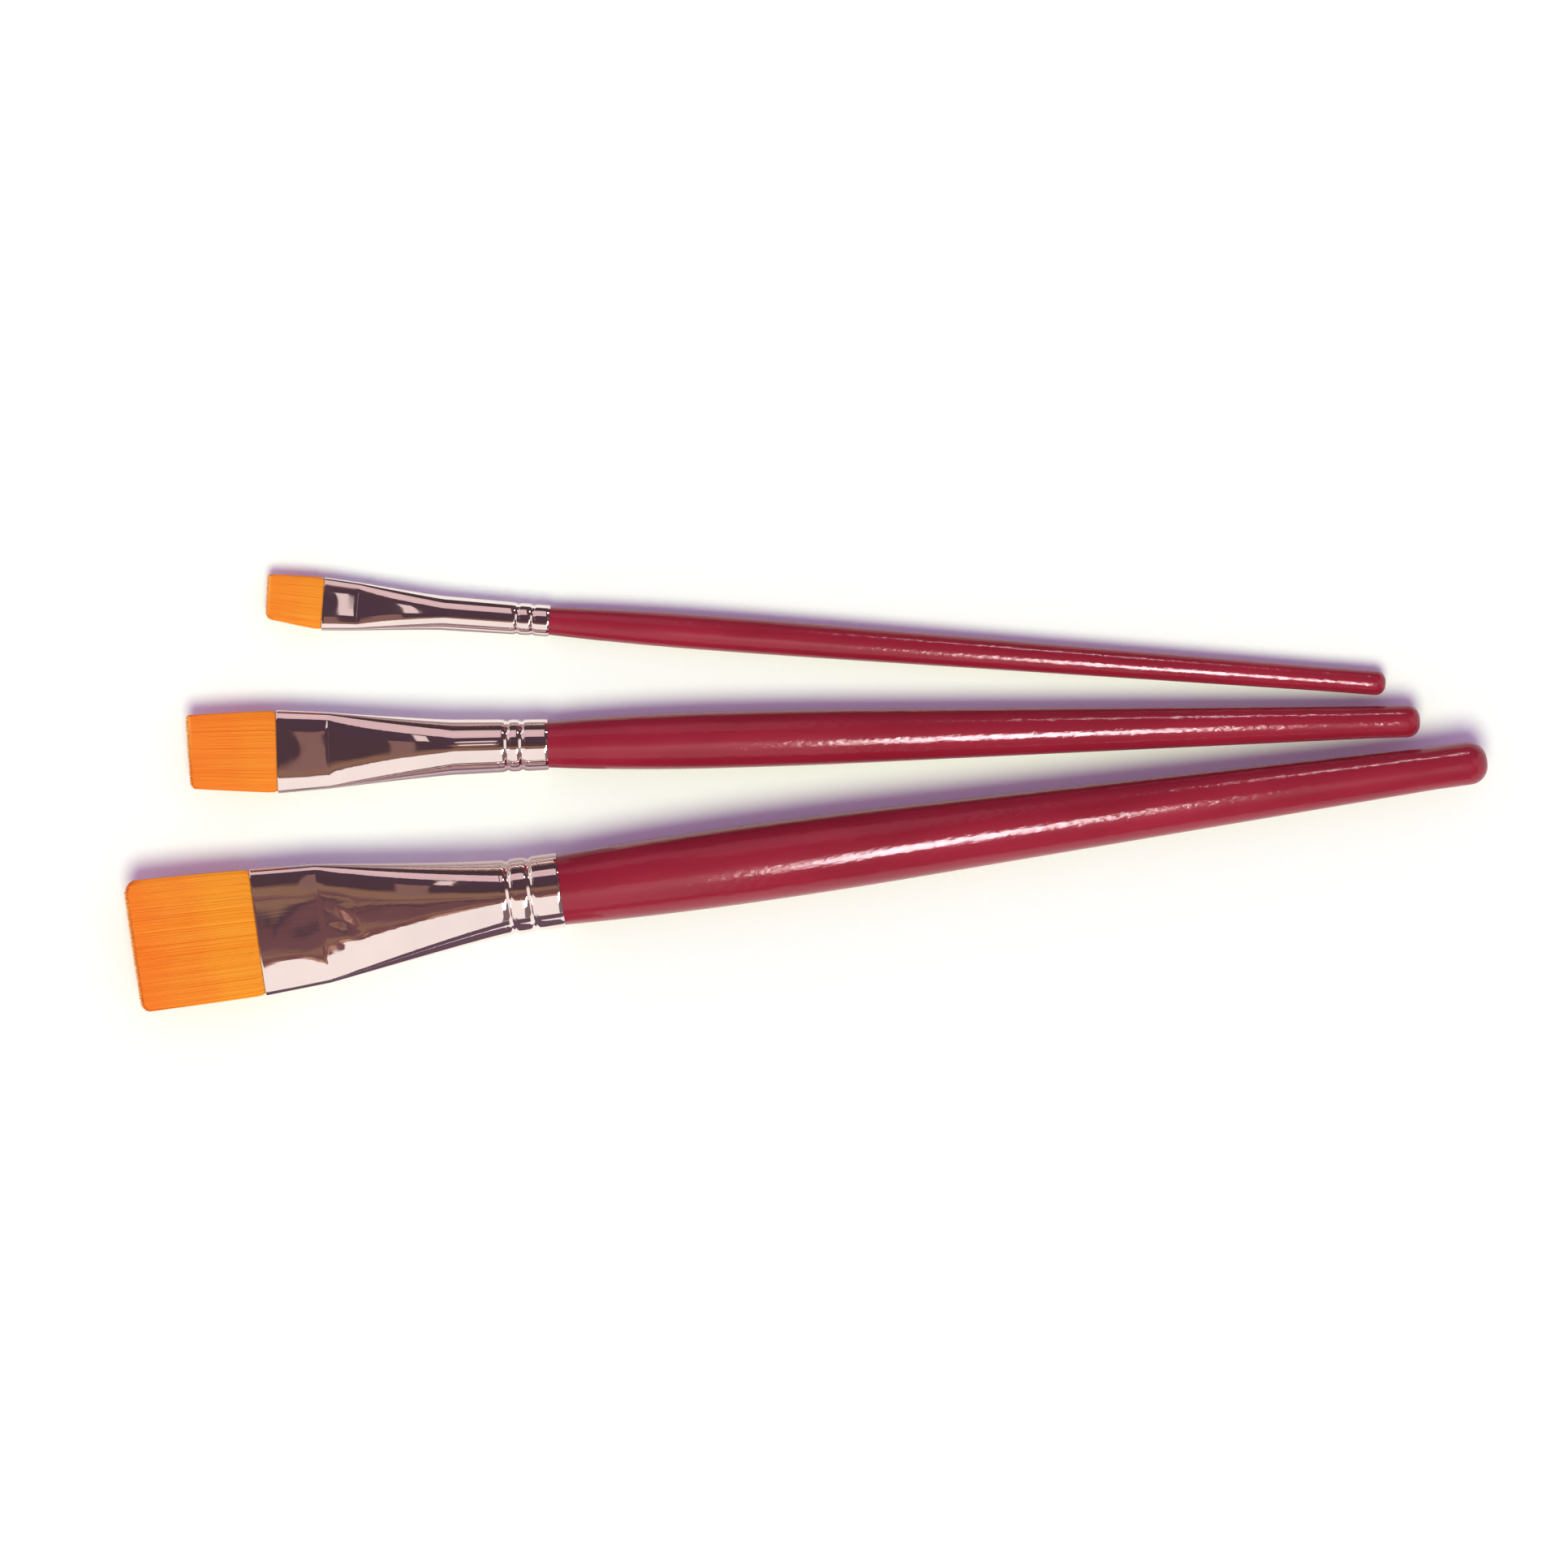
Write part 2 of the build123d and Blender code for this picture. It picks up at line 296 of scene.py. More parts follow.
def panes(paint_behind, rectangles):
    """Paint with soft-edged panes over it. Each pane is its start and end along X, its low
    and high edge along Y, in metres, and its colour."""
    def paint(shader, place):
        colour = paint_behind(shader, place)
        along, across = shader.axis(place, "X"), shader.axis(place, "Y")
        for start, end, low, high, tone in rectangles:
            inside = shader.spread(along, start, start + PANE_END)
            for edge in (
                shader.spread(along, end - PANE_END, end, 1.0, 0.0),
                shader.spread(across, low, low + PANE_SIDE),
                shader.spread(across, high - PANE_SIDE, high, 1.0, 0.0),
            ):
                inside = shader.math("MULTIPLY", inside, edge)
            colour = shader.blend(inside, colour, tone)
        return colour
    return paint


def lamp(start, end):
    """Paint of a lamp that burns low and warm at its ends, and patchily."""
    def paint(shader, place):
        share = shader.share(shader.axis(place, "X"), start, end)
        flicker = shader.math("SUBTRACT", shader.noise(place, 120.0, detail=2.0), 0.5)
        mixed = shader.math("ADD", share, shader.math("MULTIPLY", flicker, 0.3))
        return shader.ramp(mixed, [(0.0, EMBER), (0.35, GLARE), (0.7, GLARE), (1.0, EMBER)])
    return paint


def make_card(name, low, high, radius, start, end, paint, slant=0.0, strength=1.0):
    """A screen curved round the X axis. Low and high are its edges in degrees from
    straight up, positive towards +Y; the slant turns its start further round."""
    steps_round, steps_along = 24, 16
    vertices = []
    for i in range(steps_along + 1):
        along = i / steps_along
        for j in range(steps_round + 1):
            share = j / steps_round
            tilt = math.radians(low + (high - low) * share + slant * (1 - along))
            x = start + (end - start) * along
            vertices.append((x, radius * math.sin(tilt), radius * math.cos(tilt)))
    wide = steps_round + 1
    faces = [
        (i * wide + j, i * wide + j + 1, (i + 1) * wide + j + 1, (i + 1) * wide + j)
        for i in range(steps_along)
        for j in range(steps_round)
    ]
    make_screen(name, vertices, faces, paint, strength)


def make_flag(name, start, end, inner, outer, height, paint):
    """A level screen, from start to end along X and from inner to outer along Y."""
    corners = ((start, inner), (end, inner), (end, outer), (start, outer))
    make_screen(name, [(x, y, height) for x, y in corners], [(0, 1, 2, 3)], paint)


BROWN = (0.165, 0.078, 0.088)
RUSSET = (0.20, 0.085, 0.085)
SALMON = (0.48, 0.27, 0.21)
GOLD = (0.27, 0.155, 0.110)
NAVY = (0.080, 0.047, 0.068)
PINK = (0.80, 0.60, 0.64)
UMBER = (0.075, 0.045, 0.055)
DUSK = (0.15, 0.09, 0.13)
GLOOM = (0.10, 0.055, 0.065)
DIM = (0.24, 0.16, 0.18)
# painted shade of the table between the brushes, deep and light, for flags that glossy rays see
SHADE_MAUVE = (0.40, 0.31, 0.35)
SHADE_PALE = (0.66, 0.56, 0.56)
SOOT = (0.080, 0.046, 0.060)
TAN = (0.25, 0.14, 0.13)
BLUSH = (0.83, 0.70, 0.70)
EMBER = (0.10, 0.055, 0.02)
GLARE = (1.0, 0.94, 0.98)

WALL_RADIUS = 0.62
CEILING_RADIUS = 0.60
BEAMS_RADIUS = 0.58
LAMP_RADIUS = 0.50
BOARD_HEIGHT = 0.06
FLAG_HEIGHT = 0.0003  # just clear of the table
FERRULES_END = 0.02  # where the surroundings of the ferrules give way to the handles'


def make_ceiling():
    """A dark ceiling with beams, and a level board with two panes, over the ferrules."""
    ceiling = [(0.0, SALMON), (0.06, RUSSET), (0.34, BROWN), (0.5, BROWN), (0.62, GOLD)]
    ceiling += [(0.70, GOLD), (0.82, NAVY)]
    paint = bands(-15, 33, ceiling, 15.0, 1.3)
    make_card("ceiling", -15, 33, CEILING_RADIUS, -2.5, 0.35, paint)
    beams = [(0.0, RUSSET), (0.15, GOLD), (0.3, BROWN), (0.56, BROWN), (0.66, NAVY)]
    beams += [(0.78, GOLD), (1.0, BROWN)]
    paint = bands(-12, 6, beams, 30.0, 0.5)
    make_card("beams", -12, 6, BEAMS_RADIUS, -0.35, -0.06, paint)
    board = [(0.0, BROWN), (0.05, GOLD), (0.14, GOLD), (0.24, SOOT), (0.5, SOOT), (0.6, NAVY)]
    windows = [(-0.0798, -0.0726, -0.005, 0.018, TAN), (-0.0722, -0.0679, 0.020, 0.042, BLUSH)]
    paint = panes(bands(-0.012, 0.046, board, 70.0, 0.15, curved=False), windows)
    make_flag("board", -0.13, -0.025, -0.012, 0.046, BOARD_HEIGHT, paint)


def make_walls():
    """Walls beside the set, brighter by the ferrules than by the handles."""
    make_card("far_wall", 33, 71, WALL_RADIUS, -0.8, FERRULES_END, plain(PINK))
    make_card("far_edge", 70, 89.9, WALL_RADIUS, -0.35, FERRULES_END, plain(UMBER))
    make_card("near_edge", -89.9, -73, WALL_RADIUS, -0.35, 0.25, plain(DUSK))
    make_card("far_gloom", 33, 89.9, WALL_RADIUS, FERRULES_END, 0.8, plain(GLOOM))
    make_card("near_gloom", -72, -15, WALL_RADIUS, 0.04, 0.8, plain(DIM))


def make_table_flags():
    """Straight flags on the table beyond the set, and flags of painted shade between its
    brushes.
    """
    make_flag("far_flag", -0.3, 0.2, 0.043, 0.62, FLAG_HEIGHT, plain(UMBER))
    make_flag("near_flag", -0.3, -0.03, -0.032, -0.62, FLAG_HEIGHT, plain(DUSK))
    # Painted shade: the shaded table between the brushes, as glossy surfaces show it.
    paint = bands(-0.009, 0.0015, [(0.3, SHADE_PALE), (0.7, SHADE_MAUVE)], 70.0, 0.2, curved=False)
    make_flag("medium_gap", -0.3, -0.03, -0.009, 0.0015, FLAG_HEIGHT, paint)
    paint = bands(0.018, 0.0245, [(0.1, SHADE_PALE), (0.5, SHADE_MAUVE)], 70.0, 0.2, curved=False)
    make_flag("small_gap", -0.3, -0.03, 0.018, 0.0245, FLAG_HEIGHT, paint)


def make_lamps():
    """Two bright strips, which the handles' lacquer shows as long highlights."""
    paint = lamp(0.016, 0.118)
    make_card("strip", -22, -3, LAMP_RADIUS, 0.016, 0.118, paint, slant=-17, strength=42)
    make_card("thin_strip", 57, 61, LAMP_RADIUS, 0.060, 0.145, lamp(0.060, 0.145), strength=26)


make_camera()
make_key()
make_world()
make_table()
make_ceiling()
make_walls()
make_table_flags()
make_lamps()


# ---------------------------------------------------------------- sizes of the brushes

LARGE = SimpleNamespace(
    name="large",
    mouth_width=19.1,
    mouth_thickness=4.2,
    crease_station=9.8,
    crease_width=18.0,
    barrel_lead=0.4,
    barrel_diameter=11.6,
    ferrule_length=45.9,
    rear_diameter=11.3,
    wall=0.35,
    crimp_insets=(7.6, 4.4),
    crimp_width=1.5,
    crimp_depth=0.4,
    crown_line=0.0,
    crumple=0.2,
    press_marks=((4.2, -7.0, 3.6, 1.6, 0.16),),  # station, side, length, breadth, depth
    tenon_reach=7.0,
    belly_setback=27.0,
    belly_diameter=11.7,
    belly_blend=26.0,
    handle_length=140.3,
    tail_rounding=2.8,
    hair_depth=9.0,
    plug_length=6.0,
    tuft_length=19.1,
    tip_width=20.1,
    tip_thickness=1.9,
    tip_corners=(1.7, 2.4),
    tip_lean=0.4,
    tip_slant=0.5,
    strand_columns=170,
    strand_rows=12,
    hair_tones=((0.91, 0.225, 0.020), (0.91, 0.29, 0.026), (0.91, 0.345, 0.024)),
)
MEDIUM = SimpleNamespace(
    name="medium",
    mouth_width=12.5,
    mouth_thickness=3.4,
    crease_station=7.8,
    crease_width=11.45,
    barrel_lead=7.4,
    barrel_diameter=8.35,
    ferrule_length=40.7,
    rear_diameter=7.65,
    wall=0.3,
    crimp_insets=(6.1, 3.9),
    crimp_width=1.3,
    crimp_depth=0.32,
    crown_line=0.08,
    crumple=0.04,
    press_marks=(),
    tenon_reach=4.0,
    belly_setback=24.9,
    belly_diameter=8.55,
    belly_blend=24.0,
    handle_length=131.0,
    tail_rounding=2.0,
    hair_depth=7.2,
    plug_length=5.0,
    tuft_length=13.5,
    tip_width=11.3,
    tip_thickness=1.6,
    tip_corners=(1.1, 0.8),
    tip_lean=0.3,
    tip_slant=2.6,
    strand_columns=110,
    strand_rows=10,
    hair_tones=((0.90, 0.225, 0.021), (0.90, 0.25, 0.024), (0.90, 0.275, 0.024)),
)
SMALL = SimpleNamespace(
    name="small",
    mouth_width=8.0,
    mouth_thickness=2.9,
    crease_station=5.2,
    crease_width=7.25,
    barrel_lead=10.7,
    barrel_diameter=5.15,
    ferrule_length=34.1,
    rear_diameter=4.7,
    wall=0.22,
    crimp_insets=(4.8, 2.5),
    crimp_width=1.1,
    crimp_depth=0.22,
    crown_line=0.0,
    crumple=0.0,
    press_marks=(),
    tenon_reach=2.5,
    belly_setback=22.7,
    belly_diameter=5.25,
    belly_blend=22.0,
    handle_length=126.1,
    tail_rounding=1.5,
    hair_depth=4.8,
    plug_length=4.0,
    tuft_length=8.7,
    tip_width=6.9,
    tip_thickness=1.2,
    tip_corners=(1.2, 0.6),
    tip_lean=0.45,
    tip_slant=1.3,
    strand_columns=72,
    strand_rows=9,
    hair_tones=((0.91, 0.26, 0.021), (0.91, 0.285, 0.024), (0.91, 0.31, 0.024)),
)
SEAT_GAP = 0.05  # glue line between a ferrule and what it holds
EDGE_SHARP = 35.0  # degrees; faces that meet at more than this show a sharp edge


def settle(b):
    """What follows from the sizes and from the frame: tail, barrel and place."""
    tail = mounts[f"{b.name}_tail"]
    b.tail_radius = tail["dims"]["r_mm"]
    b.tail_land = tail["dims"]["length_mm"]
    b.length = b.ferrule_length + b.handle_length
    b.crimps = [b.ferrule_length - inset for inset in b.crimp_insets]
    b.barrel_station = b.crimps[0] - b.crimp_width / 2 - b.barrel_lead
    along = Vector(tail["axis"]).normalized()
    up = Vector((0, 0, 1))
    across = up.cross(along)
    land_middle = b.length - b.tail_rounding - b.tail_land / 2
    mouth = Vector(tail["pos_m"]) - along * land_middle * MM
    turn = Matrix((along, across, up)).transposed().to_4x4()
    b.place = Matrix.Translation(mouth) @ turn


def add_piece(b, part, node, vertices, faces, material, sharp_angle=EDGE_SHARP):
    """Make a piece of this brush from points in its own frame, in place of a CAD node."""
    mesh = bpy.data.meshes.new(f"{b.name}_{part}")
    mesh.from_pydata([Vector(v) * MM for v in vertices], [], faces)
    mesh.validate()
    mesh.shade_smooth()
    mesh.set_sharp_from_angle(angle=math.radians(sharp_angle))
    mesh.materials.append(material)
    piece = bpy.data.objects.new(mesh.name, mesh)
    bpy.context.scene.collection.objects.link(piece)
    piece.matrix_world = b.place
    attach(piece, f"{b.name}_brush")
    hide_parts(f"{b.name}_{node}")


def tube_faces(rings, segments, first=0, flip=False):
    """Quads between rings of points that follow one another."""
    faces = []
    for i in range(rings - 1):
        for j in range(segments):
            a = first + i * segments + j
            b = first + i * segments + (j + 1) % segments
            quad = (a, b, b + segments, a + segments)
            faces.append(quad[::-1] if flip else quad)
    return faces


def spaced(start, end, step):
    """Even steps from start up to end, without end itself."""
    count = max(1, round((end - start) / step))
    return [start + (end - start) * i / count for i in range(count)]


# ---------------------------------------------------------------- ferrule

PANEL_POWER = 3.1  # how square the pressed section is; 2 is an ellipse
NECK_WIDTH_POWER = 1.15
NECK_RISE_POWER = 1.35
CREASE_DEPTH = 0.04
CREASE_WIDTH = 0.22
CREASE_REACH = 0.3  # how far it runs out from the middle, as a share of the width there
DENT_DEPTH = 0.05
DENT_SIZE = 4.5
DENT_RISE = 8.0  # the size of a dent in height
CRUMPLE_SIZE = 2.6
CRUMPLE_REACH = 3.4
CRUMPLE_SETBACK = 2.5  # how far behind the crease it is deepest
CRUMPLE_SKEW = 0.3
CRUMPLE_STRIDE = 0.73  # how far apart its corners read the noise
MOUTH_CURL = 0.06
MOUTH_CURL_RUN = 0.25
CROWN_LINE_WIDTH = 0.26
CROWN_LINE_SIDE = 0.42
CROWN_LINE_LEAD = 2.0  # how far ahead of the barrel it starts
CROWN_LINE_RISE = 3.0  # how long it takes to rise
CROWN_LINE_GAP = 1.0  # how far ahead of the first crimp it ends
CROWN_LINE_FALL = 0.4  # how long it takes to fall
SQUARE_SHARE = 0.4  # how much of the squareness goes soon behind the crease
SQUARE_REACH = 2.0  # over what length it does
SQUARE_POWER = 0.7  # how the rest goes along the neck
CRIMP_FORM = ((0.62, 0.24), (0.18, 0.6))  # a groove and the dip round it: depth, width
FERRULE_ANGLES = sorted(  # even steps round, with half degrees by the crown line
    [2 * math.pi * i / 128 for i in range(128)]
    + [math.pi / 2 + math.radians(i / 2) for i in range(-26, 7) if i % 5.625]
)
FERRULE_SEGMENTS = len(FERRULE_ANGLES)


def barrel_radius(b, x):
    """Outside radius of the barrel, with a groove in a shallow dip at each crimp."""
    share = (x - b.barrel_station) / (b.ferrule_length - b.barrel_station)
    radius = (b.barrel_diameter + (b.rear_diameter - b.barrel_diameter) * share) / 2
    for middle in b.crimps:
        offset = (x - middle) / b.crimp_width
        for depth, width in CRIMP_FORM:
            radius -= b.crimp_depth * depth * math.exp(-((offset / width) ** 2))
    return radius


def ferrule_section(b, x):
    """Half width, half thickness and squareness of the ferrule at a station."""
    if x <= b.crease_station:
        wide = b.mouth_width + (b.crease_width - b.mouth_width) * x / b.crease_station
        return wide / 2, b.mouth_thickness / 2, PANEL_POWER
    if x >= b.barrel_station:
        radius = barrel_radius(b, x)
        return radius, radius, 2.0
    behind = x - b.crease_station
    share = behind / (b.barrel_station - b.crease_station)
    narrowing = (b.crease_width - b.barrel_diameter) * (1 - share) ** NECK_WIDTH_POWER
    rise = (b.barrel_diameter - b.mouth_thickness) * (1 - share) ** NECK_RISE_POWER
    near_crease = SQUARE_SHARE * math.exp(-behind / SQUARE_REACH)
    along_neck = (1 - SQUARE_SHARE) * (1 - share) ** SQUARE_POWER
    power = 2 + (PANEL_POWER - 2) * (near_crease + along_neck)
    return (b.barrel_diameter + narrowing) / 2, (b.barrel_diameter - rise) / 2, power


def ferrule_stations(b):
    """Where the ferrule's rings lie: close together at the crease and the crimps."""
    lip = 0.5
    crease_start = b.crease_station - 0.8
    crease_end = b.crease_station + 1.2
    crimps_start = b.crimps[0] - b.crimp_width
    crimps_end = b.crimps[-1] + b.crimp_width
    runs = (  # start, end and step
        (0, lip, 0.08),
        (lip, crease_start, 0.4),
        (crease_start, crease_end, 0.08),
        (crease_end, crimps_start, 0.45),
        (crimps_start, crimps_end, 0.09),
        (crimps_end, b.ferrule_length, 0.3),
    )
    stations = [x for start, end, step in runs for x in spaced(start, end, step)]
    return stations + [b.ferrule_length]


def section_points(x, half_width, half_thickness, power, shape=None):
    """Points round a section; shape moves each of them a little in height."""
    points = []
    for angle in FERRULE_ANGLES:
        c, s = math.cos(angle), math.sin(angle)
        y = half_width * math.copysign(abs(c) ** (2 / power), c)
        z = half_thickness * math.copysign(abs(s) ** (2 / power), s)
        if shape:
            z += shape(x, y, z) * s
        points.append((x, y, z))
    return points


def crumpled(x, y, seed):
    """Height of a crumpled sheet, from 0 to 1: flat triangles between uneven heights."""
    column, row = math.floor(x), math.floor(y)
    u, v = x - column, y - row

    def corner(i, j):
        point = Vector((column + i + 0.5, row + j + 0.5, seed + 0.5))
        return min(1, max(0, 0.5 + noise.noise(CRUMPLE_STRIDE * point)))

    if u + v < 1:
        start = corner(0, 0)
        return start + u * (corner(1, 0) - start) + v * (corner(0, 1) - start)
    start = corner(1, 1)
    return start + (1 - u) * (corner(0, 1) - start) + (1 - v) * (corner(1, 0) - start)


def ferrule_marks(b):
    """The marks of pressing, as a function: the height that they add at a point."""
    seed = 10 * len(b.name)

    def dents(x, y, z):
        height = noise.noise(Vector((x / DENT_SIZE + seed, y / DENT_SIZE, z / DENT_RISE)))
        fade = math.exp(-max(0, x - b.crease_station) / DENT_SIZE)
        return DENT_DEPTH * height * fade

    def crease(x, y):
        offset = (x - b.crease_station) / CREASE_WIDTH
        fade = math.exp(-((y / (CREASE_REACH * b.crease_width)) ** 4))
        return -CREASE_DEPTH * math.exp(-offset * offset) * fade

    def crumple(x, y):
        height = crumpled((x + CRUMPLE_SKEW * y) / CRUMPLE_SIZE, y / CRUMPLE_SIZE, seed)
        offset = (x - b.crease_station - CRUMPLE_SETBACK) / CRUMPLE_REACH
        return -b.crumple * height * math.exp(-offset * offset)

    def press(x, y):
        total = 0.0
        for along, across, length, breadth, depth in b.press_marks:
            run, side = (x - along) / length, (y - across) / breadth
            total -= depth * math.exp(-run * run - side * side)
        return total

    def crown_line(x, y):
        offset = (y - CROWN_LINE_SIDE) / CROWN_LINE_WIDTH
        start = b.barrel_station - CROWN_LINE_LEAD
        end = b.crimps[0] - CROWN_LINE_GAP
        fade_in = min(1, max(0, (x - start) / CROWN_LINE_RISE))
        fade_out = min(1, max(0, (end - x) / CROWN_LINE_FALL))
        return b.crown_line * math.exp(-offset * offset) * fade_in * fade_out

    def marks(x, y, z):
        on_top = crown_line(x, y) + press(x, y) + crumple(x, y)
        return dents(x, y, z) + crease(x, y) + on_top * (z > 0)

    return marks


def make_ferrule(b, material):
    """A polished tube with a real wall, a curled mouth and the marks of pressing."""
    vertices = []
    stations = ferrule_stations(b)
    marks = ferrule_marks(b)
    for x in stations:
        half_width, half_thickness, power = ferrule_section(b, x)
        edge = min(x, b.ferrule_length - x)
        curl = MOUTH_CURL * max(0, 1 - edge / MOUTH_CURL_RUN) ** 2
        half_width, half_thickness = half_width - curl, half_thickness - curl
        vertices += section_points(x, half_width, half_thickness, power, marks)
    faces = tube_faces(len(stations), FERRULE_SEGMENTS)
    inner_stations = stations[::-4]  # every fourth, from the back to the mouth
    if inner_stations[-1] != 0:
        inner_stations.append(0)
    inner_first = len(vertices)
    for x in inner_stations:
        half_width, half_thickness, power = ferrule_section(b, x)
        vertices += section_points(x, half_width - b.wall, half_thickness - b.wall, power)
    faces += tube_faces(len(inner_stations), FERRULE_SEGMENTS, inner_first)
    outer_last = inner_first - FERRULE_SEGMENTS
    inner_last = len(vertices) - FERRULE_SEGMENTS
    for j in range(FERRULE_SEGMENTS):
        k = (j + 1) % FERRULE_SEGMENTS
        faces.append((outer_last + j, outer_last + k, inner_first + k, inner_first + j))
        faces.append((inner_last + j, inner_last + k, k, j))
    add_piece(b, "ferrule_shell", "ferrule", vertices, faces, material)


def metal_material():
    """Polished, drawn metal: a warm tint, fine lines along the tube and faint handling."""
    material, shader, principled, place = new_material("polished_metal")
    cloud = shader.noise(place, 160.0, detail=3.0)
    colour = shader.ramp(cloud, [(0.3, (0.87, 0.745, 0.715)), (0.7, (0.93, 0.80, 0.76))])
    shader.link(colour, principled.inputs["Base Color"])
    drawn = shader.noise(shader.stretch(place, (40, 3500, 3500)), 1.0, detail=2.0)
    smudge = shader.noise(place, 420.0, detail=4.0)
    rough = shader.spread(smudge, 0.35, 0.75, 0.03, 0.08)
    shader.link(rough, principled.inputs["Roughness"])
    shader.link(shader.bump(drawn, 0.12, 0.00002), principled.inputs["Normal"])
    shader.set(principled, Metallic=1.0)
    return material


# ---------------------------------------------------------------- handle

HANDLE_SEGMENTS = 96
TENON_STEP = 0.2
HANDLE_STEP = 1.2
TAIL_STEPS = 12


def arc_drop(run, whole_run, whole_drop):
    """How far a round arc has fallen after this run, from its level top."""
    radius = (whole_run**2 + whole_drop**2) / (2 * whole_drop)
    return radius - math.sqrt(radius**2 - run**2)


def handle_radius(b, x):
    """Radius of the turned handle behind its ferrule."""
    top = b.belly_diameter / 2
    belly = b.ferrule_length + b.belly_setback
    shoulder = b.rear_diameter / 2 - b.wall - SEAT_GAP
    rounding_start = b.length - b.tail_rounding
    land_start = rounding_start - b.tail_land
    slope = (top - b.tail_radius) / (land_start - belly - b.belly_blend / 2)
    blend_drop = slope * b.belly_blend / 2
    if x < belly:
        return top - arc_drop(belly - x, b.belly_setback, top - shoulder)
    if x < belly + b.belly_blend:
        return top - arc_drop(x - belly, b.belly_blend, blend_drop)
    if x < land_start:
        return top - blend_drop - slope * (x - belly - b.belly_blend)
    if x < rounding_start:
        return b.tail_radius
    return b.tail_radius - arc_drop(x - rounding_start, b.tail_rounding, b.tail_rounding)


def make_handle(b, material):
    """Turned wood: a tenon in the ferrule, a belly, a long taper and a rounded tail."""
    inset = b.wall + SEAT_GAP
    tenon = b.barrel_station - b.tenon_reach
    tenon_radius = ferrule_section(b, tenon)[1] - inset
    outline = [(tenon, tenon_radius)]
    outline += [
        (x, barrel_radius(b, x) - inset)
        for x in spaced(b.barrel_station, b.ferrule_length - 0.1, TENON_STEP)
    ]
    rounding_start = b.length - b.tail_rounding
    outline += [
        (x, handle_radius(b, x))
        for x in spaced(b.ferrule_length, rounding_start, HANDLE_STEP)
    ]
    for i in range(TAIL_STEPS):
        x = rounding_start + b.tail_rounding * math.sin(math.pi / 2 * i / TAIL_STEPS)
        outline.append((x, handle_radius(b, x)))
    outline.append((b.length, b.tail_radius - b.tail_rounding))
    vertices = []
    for x, radius in outline:
        for j in range(HANDLE_SEGMENTS):
            angle = 2 * math.pi * j / HANDLE_SEGMENTS
            vertices.append((x, radius * math.cos(angle), radius * math.sin(angle)))
    faces = tube_faces(len(outline), HANDLE_SEGMENTS)
    last = len(vertices) - HANDLE_SEGMENTS
    faces.append(tuple(range(HANDLE_SEGMENTS))[::-1])
    faces.append(tuple(range(last, last + HANDLE_SEGMENTS)))
    add_piece(b, "handle_wood", "handle", vertices, faces, material)


def lacquer_material():
    """Thick red gloss lacquer over turned wood, a little uneven along its length."""
    material, shader, principled, place = new_material("red_lacquer")
    cloud = shader.noise(shader.stretch(place, (60, 220, 220)), 1.0, detail=3.0)
    colour = shader.ramp(cloud, [(0.3, (0.27, 0.010, 0.026)), (0.7, (0.33, 0.015, 0.036))])
    shader.link(colour, principled.inputs["Base Color"])
    grain = shader.noise(shader.stretch(place, (110, 900, 900)), 1.0, detail=3.0)
    ripple = shader.noise(shader.stretch(place, (650, 1700, 1700)), 1.0, detail=4.0)
    soft = shader.bump(grain, 0.25, 0.0001)
    coat = shader.bump(ripple, 0.45, 0.0001)
    shader.link(soft, principled.inputs["Normal"])
    shader.link(coat, principled.inputs["Coat Normal"])
    shader.set(principled, Roughness=0.42, Specular_IOR_Level=0.1)
    shader.set(principled, Coat_Weight=0.6, Coat_Roughness=0.06, Coat_IOR=1.5)
    return material


# ---------------------------------------------------------------- tuft

RIM_STOPS = (0.0, 0.8, 1.1, 1.6, 2.4)  # from the root, closer where hair leaves the rim
FREE_STOPS = (0.3, 0.55, 0.75, 0.9, 1.0)  # shares of the whole way to the tip
STRAND_SIDES = 3
STRAND_RADIUS = 0.075
STRAND_THINNING = 0.55  # how much of that is gone at a tip
THINNING_START = 0.6  # the share of the way to the tip where it begins to go
STRAND_SPAN = 0.985  # how much of the width the strands take up
LIFT_SCATTER = 0.2  # how unevenly a row lies, where the next row is at 2
BEND_ACROSS = 0.02
BEND_UP = 0.012
RAGGED = 0.45
ROOT_STATION = 0.8  # how far inside the mouth the free strands start
TIP_POWER = 7.0
CORE_SPAN = 0.97
CORE_LIFT = 0.93
CORE_RIDGE = 0.02
CORE_LENGTH = 0.985
SWELL = 0.12
SPILL = 0.1  # how far the hair bulges past the ferrule's rim
SPILL_RUN = 0.4
TUFT_SHARP = 80.0  # degrees; more than at the core's ridges, so that they shade smoothly


def strand_length(b, across, lift):
    """How far a strand stands out of the mouth, before its own unevenness."""
    corner = b.tip_corners[0] if across < 0 else b.tip_corners[1]
    beyond = max(0, abs(across) - (b.tip_width / 2 - corner)) / corner
    corner_drop = corner * (1 - math.sqrt(1 - min(1, beyond) ** 2))
    edge_drop = b.tip_thickness / 4 * lift**2
    slant = across * math.tan(math.radians(b.tip_slant))
    return b.tuft_length - corner_drop - edge_drop + slant


def hollow_point(b, x, share, lift):
    """A point inside the ferrule: a share of the way across, and of the height there."""
    half_width, half_thickness, power = ferrule_section(b, x)
    inset = b.wall + SEAT_GAP
    height = (half_thickness - inset) * (1 - abs(share) ** power) ** (1 / power)
    return Vector((x, share * (half_width - inset), lift * height))


